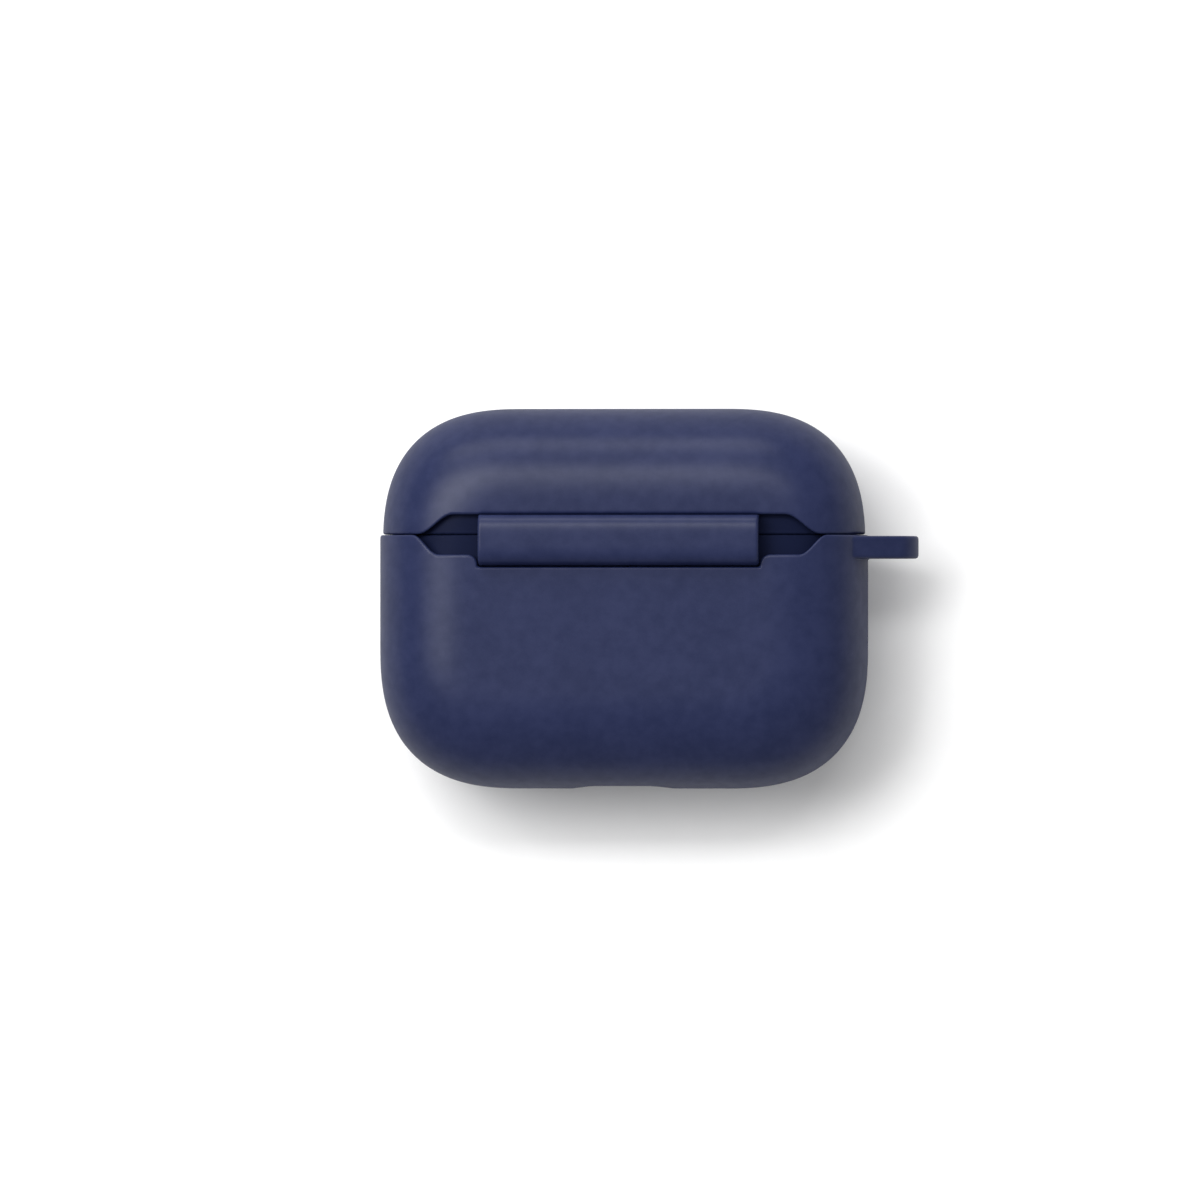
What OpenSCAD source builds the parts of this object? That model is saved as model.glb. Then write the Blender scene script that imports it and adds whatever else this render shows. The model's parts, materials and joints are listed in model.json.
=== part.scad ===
// Charging case for a pair of wireless earbuds, in a two-part silicone sleeve.
// The case lies on its front face: X is its width, +Y points to the lid's top,
// and +Z points out of the back, where the hinge and its strap are.
// The origin is the middle of the sleeve's flat front face.

/* [Charging case] */
// Width of the hard case
case_w = 60.4; // [56:0.2:76]
// Height of the hard case, lid closed
case_h = 46.6; // [44:0.2:60]
// Thickness of the hard case, front to back
case_t = 21.4; // [21:0.2:27]
// Radius of the outline's four corners
corner_r = 17; // [15:0.5:18]
// How far in from the outline the edges go on curving before the faces are flat
edge_roll = 11; // [9:0.5:12]
// Squareness of the outline's corners, 2 is round
corner_power = 2.6; // [2:0.1:3]
// Squareness of the edges from front to back, 2 is round
edge_power = 2.3; // [2:0.1:2.8]
// Wall of the two hard shells
shell_wall = 1.3; // [1:0.1:1.6]
// Height of the lid's hard shell
lid_h = 15.15; // [14:0.05:20]
// Gap between the two shells when closed
seam_gap = 0.2; // [0.1:0.05:0.4]

/* [Silicone sleeve] */
// Wall of the base sleeve
base_wall = 1.6; // [1.2:0.05:2.4]
// Wall of the lid sleeve
lid_wall = 1.25; // [1:0.05:1.6]
// Clearance between a sleeve and its shell
sleeve_gap = 0.05; // [0.02:0.01:0.1]
// Gap between the rims of the two sleeves
rim_gap = 0.24; // [0.2:0.02:0.6]
// Reach of the hinge notch into each sleeve, from the seam
notch_depth = 2.6; // [2.4:0.1:3.2]
// Where the lid sleeve's notch runs out, from the middle
lid_notch_mid = 23.9; // [22:0.1:26]
// Length of the S-shaped end of the lid sleeve's notch
lid_notch_run = 4.8; // [2:0.1:6]
// Where the base sleeve's notch runs out, from the middle
base_notch_mid = 25.2; // [23:0.1:27]
// Length of the S-shaped end of the base sleeve's notch
base_notch_run = 3.6; // [2:0.1:6]
// Rounded corner between the base notch and the strap's recess
recess_corner = 1.3; // [0.6:0.1:1.4]
// Width of the window over the charging port
window_w = 12.4; // [11:0.1:16]
// Height of the window over the charging port
window_t = 6.5; // [5.5:0.1:9]
// Radius of the hole over the status light
light_window_r = 1.6; // [1.4:0.1:3]
// Thickness of the tape that holds the lid sleeve
tape_t = 0.22; // [0.1:0.02:0.4]
// Width of one strip of tape
tape_w = 12; // [6:0.5:14]
// Height of one strip of tape
tape_h = 3.5; // [2:0.5:6]

/* [Lanyard lug] */
// Thickness of the lug
lug_t = 3; // [2:0.1:5]
// How far the lug stands out of the sleeve's side
lug_reach = 6.6; // [5:0.1:10]
// Radius of the lug's round end
lug_r = 4.4; // [4:0.1:5]
// Radius of the lanyard hole
lug_hole_r = 2.2; // [1.5:0.1:2.3]
// Rim left between the lanyard hole and the lug's end
lug_rim = 2; // [1.2:0.1:2.2]
// Half the height of the lug where it leaves the sleeve
lug_root = 7.5; // [6:0.1:8]
// How far in from the silhouette the lug's root starts
lug_inset = 2.4; // [1.5:0.1:3]

/* [Hinge] */
// Radius of the hinge knuckles
barrel_r = 1.9; // [1.6:0.05:2.1]
// Radius of the hinge pin
pin_r = 0.8; // [0.6:0.05:1]
// Running clearance between pin and knuckle
pin_clear = 0.05; // [0.02:0.01:0.1]
// How far the hinge line lies below the seam
hinge_drop = 0.65; // [0.4:0.05:0.9]
// Length of one knuckle
knuckle_l = 6; // [4:0.1:6.6]
// Side clearance between knuckles
knuckle_gap = 0.2; // [0.1:0.05:0.4]
// Thickness of the leaves
leaf_t = 0.6; // [0.4:0.05:0.8]
// Height of a leaf's plate along the back wall
leaf_h = 3; // [2.6:0.1:3.2]
// Half the height of the silicone strap over the hinge
strap_r = 3.4; // [3.3:0.05:4]
// Squareness of the strap's section, 2 is round
strap_power = 3.8; // [2:0.1:4.2]
// Inner radius of the strap
strap_hollow_r = 2.2; // [2.15:0.05:2.6]
// Width of the strap
strap_w = 36.4; // [35:0.2:44]
// Thickness of the pin's head and of its clip
pin_head_t = 0.7; // [0.4:0.1:1]
// Radius of the pin's head and of its clip
pin_head_r = 1.4; // [1.1:0.1:1.6]

/* [Earbud cradle] */
// Distance of each pocket's middle from the middle of the case
pocket_x = 15.8; // [15.4:0.1:17]
// Width of a pocket for an earbud's head
pocket_w = 19; // [17:0.5:19.5]
// Front to back size of a pocket
pocket_d = 14.5; // [13:0.1:15]
// Corner radius of a pocket
pocket_r = 6.5; // [5:0.1:7]
// Depth of a pocket below the deck
pocket_h = 6.45; // [5:0.05:8]
// Wall of the pockets and wells
pocket_wall = 0.9; // [0.7:0.1:1.2]
// Distance of each stem well from the middle of the case
well_x = 16.8; // [16:0.1:18]
// Radius of a stem well
well_r = 4; // [3.4:0.1:4.6]
// Depth of a stem well below the deck
well_h = 19.2; // [16:0.1:21]
// Thickness of the cradle's deck
deck_t = 1.2; // [0.8:0.1:1.6]
// Depth of the deck below the seam
deck_drop = 0.5; // [0.3:0.1:1]
// Depth of the head pockets in the lid liner
lid_pocket_h = 11; // [8:0.5:11]

/* [Contacts and button] */
// Radius of a contact pin
contact_r = 0.5; // [0.4:0.05:0.7]
// Distance of each contact pin from the middle of its well
contact_x = 1.7; // [1.4:0.1:2.2]
// How far a contact pin stands out of its barrel
contact_out = 0.5; // [0.4:0.05:0.8]
// Radius of a contact barrel
contact_barrel_r = 0.9; // [0.8:0.05:1.1]
// Length of a contact barrel
contact_barrel_l = 3.8; // [3:0.1:4.4]
// Radius of the pairing button
button_r = 2.4; // [1.8:0.1:3]
// Travel of the pairing button
button_travel = 0.3; // [0.2:0.05:0.4]

/* [Electronics] */
// Width of the battery
battery_w = 21.8; // [16:0.2:22]
// Height of the battery
battery_h = 14.6; // [10:0.2:15]
// Thickness of the battery
battery_t = 7.4; // [5:0.2:7.6]
// Thickness of the battery's foam pad
pad_t = 0.5; // [0.3:0.1:1]
// Thickness of the circuit boards
board_t = 0.8; // [0.6:0.1:1.2]
// Width of the main board
board_w = 22; // [20:0.5:22.5]
// Width of the main board's neck between the pockets
neck_w = 9; // [6:0.5:9.6]
// Outer width of the charging port
port_w = 8.94; // [8.9:0.02:9]
// Outer height of the charging port
port_t = 3.26; // [3.2:0.02:3.3]
// Length of the charging port
port_l = 7.3; // [6.5:0.1:8]
// Sheet thickness of the charging port
port_sheet = 0.3; // [0.2:0.05:0.4]
// Outer radius of the wireless charging coil
coil_r = 7; // [5:0.2:7.2]
// Inner radius of the wireless charging coil
coil_hole_r = 3; // [2:0.2:4]
// Number of turns of the wireless charging coil
coil_turns = 8; // [4:1:10]
// Thickness of the wireless charging coil
coil_t = 0.8; // [0.5:0.1:1]
// Radius of the light pipe
pipe_r = 1; // [0.7:0.1:1.3]

/* [Hidden] */
// General clearance between neighbouring parts of one body
fit = 0.1;
// Overlap that makes two shapes one solid
bite = 0.4;
// More than any dimension of the case
far = 100;
// Points along a quarter of the outline, and steps from front face to back face
corner_steps = 8;
roll_steps = 16;
strap_steps = 64;
round_fn = 48;
small_fn = 32;

// The case between the sleeve's walls
base_off = sleeve_gap + base_wall;
lid_off = sleeve_gap + lid_wall;
front_z = base_off;
back_z = front_z + case_t;
mid_z = front_z + case_t / 2;
inner_front_z = front_z + shell_wall;
inner_back_z = back_z - shell_wall;
seam_y = case_h / 2 - lid_h;
bottom_y = -case_h / 2;
inner_bottom_y = bottom_y + shell_wall;

// Hinge line, on the surface of the case's back
axis_y = seam_y - hinge_drop;
axis_z = back_z;
swing_gap = 0.4;
leaf_z = inner_back_z - 2 * fit - leaf_t;
arm_r = norm([axis_z - leaf_z, bite]) + fit / 2;
// Clears the knuckles and the leaves' arms, whichever swing wider
channel_r = max(barrel_r + swing_gap, arm_r);
trough_wall = 1;
trough_r = channel_r + trough_wall;
knuckle_pitch = knuckle_l + knuckle_gap;
knuckles = 5;
barrel_l = knuckles * knuckle_pitch - knuckle_gap;
pin_end = barrel_l / 2 + fit;
clip_t = 0.4;
groove_depth = 0.2;
groove_r = pin_r - groove_depth;
pin_end_gap = 0.5;
channel_w = 2 * (pin_end + pin_head_t + clip_t + pin_end_gap);
trough_w = channel_w + 2 * trough_wall;
leaf_w = barrel_l;
leaf_near = trough_r + fit;
leaf_screw_inset = 1.9;
leaf_screw_x = leaf_w / 2 - leaf_screw_inset;
leaf_screw_r = 0.5;
leaf_screw_head_r = 1;
leaf_screw_l = 1.6;
post_r = 1.4;

// Sleeve rims and cuts
lid_rim_y = seam_y + rim_gap / 2;
base_rim_y = seam_y - rim_gap / 2;
recess_y = axis_y - strap_r - 1.5 * fit;
notch_steps = 8;
lug_x = case_w / 2 + base_off + lug_reach;
lug_mid_x = lug_x - lug_r;
lug_hole_x = lug_x - lug_rim - lug_hole_r;
lug_root_x = case_w / 2 + base_off - lug_inset;
tape_gap = 4;

// Cradle
deck_y = seam_y - deck_drop;
cradle_back_z = back_z - trough_r - 1.5 * fit;
well_z = cradle_back_z - pocket_wall - pocket_d / 2;
pocket_floor_y = deck_y - pocket_h;
well_floor_y = deck_y - well_h;
liner_y = seam_y + seam_gap / 2 + 3 * fit;
web_x = pocket_x - pocket_w / 2 - pocket_wall;

// Contacts
barrel_top_y = well_floor_y + 3 * fit;
barrel_foot_y = barrel_top_y - contact_barrel_l;
contact_board_t = 0.6;
contact_board_margin = 0.8;
contact_board_w = 2 * (contact_x + contact_barrel_r + contact_board_margin);
contact_board_d = 5.2;

// Port and boards
port_mouth_y = bottom_y + 4 * fit;
port_back_y = port_mouth_y + port_l;
board_z = mid_z + port_t / 2 + fit / 4;
board_rise = 3.2;
board_foot_y = inner_bottom_y + board_rise;
board_shoulder_y = pocket_floor_y - pocket_wall - 4 * fit;
board_top_gap = 1.2;
board_top_y = deck_y - deck_t - board_top_gap;
board_tab_w = 13;
board_tab_h = 1.6;
boss_x = 8.8;
boss_rise = 1.9;
boss_y = board_foot_y + boss_rise;
boss_r = 1.6;
board_screw_r = 0.6;
board_screw_head_r = 1.2;
board_screw_head_t = 0.5;
board_screw_l = 5;
gasket_t = 0.7;
gasket_rim = 0.8;
tongue_w = 6.7;
tongue_t = 0.7;
tongue_reach = 5.6;
lead_t = 0.3;

// Battery
battery_top_y = pocket_floor_y - pocket_wall - 3 * fit;
battery_z = inner_front_z + fit / 2 + pad_t;
battery_corner_r = 1;
pad_inset = 2;

// Coil against the back wall
coil_z = inner_back_z - 2.5 * fit - coil_t;
coil_gap = 0.9;
coil_y = axis_y - leaf_near - leaf_h - coil_gap - coil_r;
ferrite_t = 0.5;
ferrite_z = coil_z - fit / 2 - ferrite_t;

// Button and its switch
switch_t = 1.6;
button_skirt = 0.5;
button_foot = 1.5;
switch_y = deck_y - deck_t - button_skirt - button_foot - button_travel - fit;
switch_w = 4;

// Magnets
latch_inset = 2.4;
latch_x = web_x - latch_inset;
latch_forward = 5;
latch_z = well_z - latch_forward;
latch_w = 3.2;
latch_d = 3;
latch_t = 1.8;
plate_t = 1.2;
bud_magnet_r = 1.8;
bud_magnet_t = 2;
bud_magnet_x = pocket_x + pocket_w / 2 - bud_magnet_r;
sensor_x = 3;
sensor_w = 1.6;
sensor_t = 0.8;

// Status light
light_board_h = 2.8;
light_y = deck_y - deck_t - latch_t - light_board_h / 2 - 2 * fit;
light_board_gap = 3.2;
light_board_z = inner_front_z + light_board_gap;
led_t = 0.8;

// ---- shared shapes ----

// Distance from the middle to a rounded square of half-size 1, at angle a
function super_r(a, power) =
    pow(pow(abs(cos(a)), power) + pow(abs(sin(a)), power), -1 / power);

// The case's outline, drawn in by inset, as points at height z
function outline(half_w, half_h, r, inset, z) = [
    for (q = [0:3], i = [0:corner_steps])
        let (a = 90 * q + 90 * i / corner_steps,
             side_x = (q == 0 || q == 3) ? 1 : -1,
             side_y = q < 2 ? 1 : -1,
             reach = (r - inset) * super_r(a, corner_power))
        [side_x * (half_w - r) + reach * cos(a), side_y * (half_h - r) + reach * sin(a), z]
];

// The case's pebble shape, grown outward by off: rings of the outline from front to back
module pebble(off) {
    ring = 4 * (corner_steps + 1);
    points = [
        for (k = [0:roll_steps])
            let (b = -90 + 180 * k / roll_steps,
                 reach = super_r(b, edge_power))
            each outline(case_w / 2 + off, case_h / 2 + off, corner_r + off,
                         (edge_roll + off) * (1 - reach * cos(b)),
                         mid_z + (case_t / 2 + off) * reach * sin(b))
    ];
    front = [for (j = [0:ring - 1]) j];
    back = [for (j = [ring - 1:-1:0]) roll_steps * ring + j];
    sides = [
        for (k = [0:roll_steps - 1], j = [0:ring - 1], half = [0:1])
            let (a = k * ring + j,
                 b = k * ring + (j + 1) % ring)
            half == 0 ? [a, a + ring, b + ring] : [a, b + ring, b]
    ];
    polyhedron(points, concat([front, back], sides), convexity = 4);
}

// Everything above, or below, a height on the Y axis
module above_y(y) {
    translate([-far, y, -far]) cube([2 * far, far, 2 * far]);
}

module below_y(y) {
    translate([-far, y - far, -far]) cube([2 * far, far, 2 * far]);
}

// A flat shape in X and Z, extruded down the Y axis from top_y
module down_y(top_y, depth) {
    translate([0, top_y, 0]) rotate([90, 0, 0]) linear_extrude(depth) children();
}

// A rod along the hinge line
module hinge_rod(x0, x1, r) {
    translate([x0, axis_y, axis_z]) rotate([0, 90, 0]) cylinder(h = x1 - x0, r = r, $fn = round_fn);
}

module rounded_rect(w, h, r) {
    square([w - 2 * r, h], center = true);
    square([w, h - 2 * r], center = true);
    for (sx = [-1, 1], sy = [-1, 1])
        translate([sx * (w / 2 - r), sy * (h / 2 - r)]) circle(r, $fn = round_fn);
}

// A slot with round ends, lying along X
module stadium(w, h) {
    square([w - h, h], center = true);
    for (side = [-1, 1]) translate([side * (w - h) / 2, 0]) circle(h / 2, $fn = round_fn);
}

module box(x0, x1, y0, y1, z0, z1) {
    translate([x0, y0, z0]) cube([x1 - x0, y1 - y0, z1 - z0]);
}

// Outline of an earbud pocket, grown by off
module pocket_outline(side, off) {
    translate([side * pocket_x, well_z])
        rounded_rect(pocket_w + 2 * off, pocket_d + 2 * off, pocket_r + off);
}

module well_outline(side, r) {
    translate([side * well_x, well_z]) circle(r, $fn = round_fn);
}

// Half outline of a notch's S-shaped end: full depth at one end, nothing at the other
function notch_end(mid, run, side) = [
    for (i = [0:notch_steps])
        let (s = i / notch_steps)
        [mid + run * (s - 0.5), seam_y + side * notch_depth * (1 + cos(180 * s)) / 2]
];

function mirror_x(points) = [for (i = [len(points) - 1:-1:0]) [-points[i][0], points[i][1]]];

// Cuts the back half of a sleeve only, so that the front rim stays straight
module back_cut(points) {
    translate([0, 0, mid_z + shell_wall]) linear_extrude(case_t) polygon(points);
}

function knuckle_x(i) = -barrel_l / 2 + i * knuckle_pitch;

// Countersunk screw that holds a hinge leaf, and the hole for it
module leaf_screw(x, y, clear) {
    head_h = leaf_screw_head_r - leaf_screw_r;
    translate([x, y, leaf_z + leaf_t - head_h])
        cylinder(h = head_h, r1 = leaf_screw_r + clear, r2 = leaf_screw_head_r + clear, $fn = small_fn);
    translate([x, y, leaf_z + leaf_t - head_h - leaf_screw_l])
        cylinder(h = leaf_screw_l + fit / 2, r = leaf_screw_r + clear, $fn = small_fn);
}

// Middle of a leaf's plate: side is -1 on the base and 1 on the lid
function leaf_mid_y(side) = axis_y + side * (leaf_near + leaf_h / 2);

module leaf(side, which) {
    arm_start = axis_y - side * bite;
    arm_end = axis_y + side * (leaf_near + bite);
    difference() {
        union() {
            translate([-leaf_w / 2, leaf_mid_y(side) - leaf_h / 2, leaf_z]) cube([leaf_w, leaf_h, leaf_t]);
            for (i = which) {
                hinge_rod(knuckle_x(i), knuckle_x(i) + knuckle_l, barrel_r);
                box(knuckle_x(i), knuckle_x(i) + knuckle_l, min(arm_start, arm_end),
                    max(arm_start, arm_end), leaf_z, leaf_z + leaf_t);
            }
        }
        hinge_rod(-far, far, pin_r + pin_clear);
        for (x = [-leaf_screw_x, leaf_screw_x]) leaf_screw(x, leaf_mid_y(side), fit / 2);
    }
}

// Slots through the trough's wall for a leaf's arms
module arm_slots(side, which) {
    slot_end = axis_y + side * (leaf_near + fit);
    for (i = which)
        box(knuckle_x(i) - fit, knuckle_x(i) + knuckle_l + fit, min(axis_y, slot_end),
            max(axis_y, slot_end), leaf_z - fit, leaf_z + leaf_t + fit);
}

// Hard shell without its openings, with the trough that the knuckles turn in
module shell_blank() {
    difference() {
        union() {
            difference() {
                pebble(0);
                pebble(-shell_wall);
            }
            intersection() {
                hinge_rod(-trough_w / 2, trough_w / 2, trough_r);
                pebble(-shell_wall / 2);
            }
        }
        hinge_rod(-channel_w / 2, channel_w / 2, channel_r);
    }
}

// Posts on the cradle and the liner that the leaf screws go into
module leaf_posts(side) {
    for (x = [-leaf_screw_x, leaf_screw_x])
        translate([x, leaf_mid_y(side), cradle_back_z - bite])
            cylinder(h = leaf_z - cradle_back_z + bite, r = post_r, $fn = small_fn);
}

module leaf_post_holes(side) {
    for (x = [-leaf_screw_x, leaf_screw_x]) leaf_screw(x, leaf_mid_y(side), fit / 5);
}

// Room for the hinge behind the cradle or the liner
module hinge_room(y0, y1) {
    box(-trough_w / 2 - fit, trough_w / 2 + fit, y0, y1, cradle_back_z, far);
}

// ---- silicone sleeve ----

module lug_outline() {
    reach = sqrt(pow(lug_mid_x - lug_root_x, 2) + pow(lug_root, 2));
    lean = atan2(lug_root, lug_root_x - lug_mid_x) - acos(lug_r / reach);
    tip = [lug_mid_x + lug_r * cos(lean), lug_r * sin(lean)];
    inside_x = case_w / 2 - lug_inset;
    translate([0, mid_z]) {
        translate([lug_mid_x, 0]) circle(lug_r, $fn = round_fn);
        polygon([[inside_x, -lug_root], [lug_root_x, -lug_root], [tip[0], -tip[1]],
                 tip, [lug_root_x, lug_root], [inside_x, lug_root]]);
    }
}

module base_sleeve() {
    recess_x = strap_w / 2 + 1.5 * fit;
    recess_round = [
        for (i = [0:notch_steps])
            let (a = 180 - 90 * i / notch_steps)
            [recess_x + recess_corner * (1 + cos(a)), seam_y - notch_depth + recess_corner * (sin(a) - 1)]
    ];
    edge = concat([[recess_x, recess_y]], recess_round, notch_end(base_notch_mid, base_notch_run, -1));
    color("#2c3258") difference() {
        union() {
            intersection() {
                pebble(base_off);
                below_y(base_rim_y);
            }
            down_y(base_rim_y, lug_t) lug_outline();
        }
        pebble(sleeve_gap);
        back_cut(concat(mirror_x(edge), edge, [[base_notch_mid, far], [-base_notch_mid, far]]));
        down_y(inner_bottom_y, far) translate([0, mid_z]) stadium(window_w, window_t);
        translate([0, light_y, -fit]) cylinder(h = inner_front_z, r = light_window_r, $fn = small_fn);
        translate([lug_hole_x, base_rim_y + fit, mid_z]) rotate([90, 0, 0])
            cylinder(h = lug_t + 2 * fit, r = lug_hole_r, $fn = round_fn);
    }
}

module lid_sleeve() {
    edge = notch_end(lid_notch_mid, lid_notch_run, 1);
    color("#2c3258") difference() {
        intersection() {
            pebble(lid_off);
            above_y(lid_rim_y);
        }
        pebble(sleeve_gap);
        back_cut(concat(edge, [[lid_notch_mid, -far], [-lid_notch_mid, -far]], mirror_x(edge)));
        lid_sleeve_tape_shape(fit / 4);
    }
}

// Silicone arch over the knuckles, from the lid sleeve to the base: flat on top, with round shoulders
module hinge_strap() {
    section = [
        for (i = [0:strap_steps - 1])
            let (a = 360 * i / strap_steps)
            strap_r * super_r(a, strap_power) * [cos(a), sin(a)]
    ];
    color("#30365c") intersection() {
        difference() {
            translate([-strap_w / 2, axis_y, axis_z]) rotate([90, 0, 90])
                linear_extrude(strap_w) polygon(section);
            hinge_rod(-far, far, strap_hollow_r);
        }
        box(-far, far, -far, seam_y + notch_depth - fit / 2, back_z + fit / 2, far);
    }
}

// Two strips of tape side by side, let into the inside of the lid sleeve's front
module lid_sleeve_tape_shape(clear) {
    tape_z = front_z - sleeve_gap / 2 - tape_t / 2;
    for (side = [-1, 1])
        translate([side * (tape_w / 2 + 2 * fit), seam_y + tape_gap + tape_h / 2, tape_z])
            cube([tape_w + 2 * clear, tape_h + 2 * clear, tape_t + 2 * clear], center = true);
}

module lid_sleeve_tape() {
    color("#d8d8d2") lid_sleeve_tape_shape(0);
}

// ---- hard case ----

module base_shell() {
    color("#1b1f38") difference() {
        union() {
            intersection() {
                shell_blank();
                below_y(seam_y - seam_gap / 2);
            }
            for (side = [-1, 1])
                translate([side * boss_x, boss_y, inner_front_z])
                    cylinder(h = board_z - fit / 2 - inner_front_z, r = boss_r, $fn = small_fn);
        }
        arm_slots(-1, [0:2:knuckles - 1]);
        down_y(inner_bottom_y + bite, far) translate([0, mid_z])
            stadium(port_w + 2 * fit, port_t + 2 * fit);
        translate([0, light_y, 0]) cylinder(h = inner_front_z + bite, r = pipe_r + fit / 2, $fn = small_fn);
        for (side = [-1, 1])
            translate([side * boss_x, boss_y, board_z - board_screw_l])
                cylinder(h = board_screw_l, r = board_screw_r + fit / 5, $fn = small_fn);
    }
}

module lid_shell() {
    color("#1b1f38") difference() {
        intersection() {
            shell_blank();
            above_y(seam_y + seam_gap / 2);
        }
        arm_slots(1, [1:2:knuckles - 1]);
    }
}

module lid_liner() {
    color("#232845") difference() {
        union() {
            difference() {
                intersection() {
                    pebble(-shell_wall - fit);
                    above_y(liner_y);
                }
                hinge_room(-far, leaf_mid_y(1) + leaf_h / 2 + 3 * fit);
            }
            leaf_posts(1);
        }
        intersection() {
            pebble(-shell_wall - fit - pocket_wall);
            down_y(liner_y + lid_pocket_h, far) for (side = [-1, 1]) pocket_outline(side, 0);
        }
        leaf_post_holes(1);
        latch_shape(liner_y + fit, liner_y + plate_t + 2 * fit, fit / 2);
        sensor_magnet_shape(fit / 2);
    }
}

module earbud_cradle() {
    contact_hole_r = contact_barrel_r + fit / 2;
    color("#232845") difference() {
        union() {
            difference() {
                intersection() {
                    pebble(-shell_wall - fit);
                    above_y(deck_y - deck_t);
                    below_y(deck_y);
                }
                hinge_room(-far, far);
            }
            for (side = [-1, 1]) {
                down_y(deck_y - deck_t / 2, pocket_h - deck_t / 2 + pocket_wall)
                    pocket_outline(side, pocket_wall);
                down_y(pocket_floor_y, well_h - pocket_h + pocket_wall)
                    well_outline(side, well_r + pocket_wall);
            }
            leaf_posts(-1);
        }
        for (side = [-1, 1]) {
            down_y(deck_y + fit, pocket_h + fit) pocket_outline(side, 0);
            down_y(deck_y, well_h) well_outline(side, well_r);
            for (end = [-1, 1])
                down_y(deck_y, far) translate([side * well_x + end * contact_x, well_z])
                    circle(contact_hole_r, $fn = small_fn);
        }
        leaf_post_holes(-1);
        down_y(deck_y + fit, deck_t + 2 * fit)
            translate([0, well_z]) circle(button_r + fit, $fn = round_fn);
    }
}

// ---- hinge ----

module base_hinge_leaf() {
    color("#b9bcc2") leaf(-1, [0:2:knuckles - 1]);
}

module lid_hinge_leaf() {
    color("#b9bcc2") leaf(1, [1:2:knuckles - 1]);
}

// Pin with a head at one end and a groove for its clip at the other
module hinge_pin() {
    color("#d5d7db") {
        difference() {
            hinge_rod(-pin_end - pin_head_t / 2, pin_end + clip_t + pin_head_t, pin_r);
            difference() {
                hinge_rod(pin_end, pin_end + clip_t, pin_head_r);
                hinge_rod(pin_end - bite, pin_end + clip_t + bite, groove_r);
            }
        }
        hinge_rod(-pin_end - pin_head_t, -pin_end, pin_head_r);
    }
}

module hinge_pin_clip() {
    color("#8f9298") difference() {
        hinge_rod(pin_end + fit / 4, pin_end + clip_t - fit / 4, pin_head_r);
        hinge_rod(pin_end - bite, pin_end + clip_t + bite, groove_r + fit / 5);
        box(pin_end - bite, pin_end + clip_t + bite, axis_y - groove_r, axis_y + groove_r, axis_z, far);
    }
}

module hinge_screws(side) {
    color("#c8cace") for (x = [-leaf_screw_x, leaf_screw_x]) leaf_screw(x, leaf_mid_y(side), 0);
}

module base_hinge_screws() {
    hinge_screws(-1);
}

module lid_hinge_screws() {
    hinge_screws(1);
}

// ---- magnets and sensor ----

module latch_shape(y0, y1, clear) {
    half_w = latch_w / 2 + clear;
    half_d = latch_d / 2 + clear;
    for (side = [-1, 1])
        box(side * latch_x - half_w, side * latch_x + half_w, y0 - clear, y1 + clear,
            latch_z - half_d, latch_z + half_d);
}

module latch_magnets() {
    color("#9a9da3") latch_shape(deck_y - deck_t - fit / 2 - latch_t, deck_y - deck_t - fit / 2, 0);
}

// Steel plates in the lid liner that the magnets pull on
module latch_plates() {
    color("#a9acb2") latch_shape(liner_y + fit, liner_y + fit + plate_t, 0);
}

module earbud_magnets() {
    color("#9a9da3") for (side = [-1, 1])
        down_y(pocket_floor_y - pocket_wall - fit / 2, bud_magnet_t)
            translate([side * bud_magnet_x, well_z]) circle(bud_magnet_r, $fn = small_fn);
}

// Magnetic sensor at the top of the board, which feels the lid's small magnet
module lid_sensor() {
    foot_z = board_z + board_t + fit / 2;
    color("#15161a") box(sensor_x - sensor_w / 2, sensor_x + sensor_w / 2, board_top_y - 2 * sensor_w,
        board_top_y - fit, foot_z, foot_z + sensor_t);
}

module sensor_magnet_shape(clear) {
    half_w = sensor_w / 2 + clear;
    box(sensor_x - half_w, sensor_x + half_w, liner_y + fit, liner_y + 2 * sensor_w,
        board_z + board_t - clear, board_z + board_t + 1.5 * sensor_w + clear);
}

module lid_sensor_magnet() {
    color("#9a9da3") sensor_magnet_shape(0);
}

// ---- contacts ----

// The two sprung pins at the bottom of one well
module contact_pins(side) {
    color("#c9a24a") for (end = [-1, 1])
        down_y(barrel_top_y + contact_out, contact_out + contact_barrel_l - 3 * contact_r)
            translate([side * well_x + end * contact_x, well_z]) circle(contact_r, $fn = small_fn);
}

module left_contact_pins() {
    contact_pins(-1);
}

module right_contact_pins() {
    contact_pins(1);
}

module contact_barrels() {
    bore_r = contact_r + pin_clear;
    color("#b08d3e") for (side = [-1, 1], end = [-1, 1]) difference() {
        down_y(barrel_top_y, contact_barrel_l)
            translate([side * well_x + end * contact_x, well_z]) circle(contact_barrel_r, $fn = small_fn);
        down_y(barrel_top_y + fit, contact_barrel_l - contact_r)
            translate([side * well_x + end * contact_x, well_z]) circle(bore_r, $fn = small_fn);
    }
}

module contact_boards() {
    color("#1f5a3a") for (side = [-1, 1])
        box(side * well_x - contact_board_w / 2, side * well_x + contact_board_w / 2,
            barrel_foot_y - fit / 2 - contact_board_t, barrel_foot_y - fit / 2,
            well_z - contact_board_d / 2, well_z + contact_board_d / 2);
}

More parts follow.
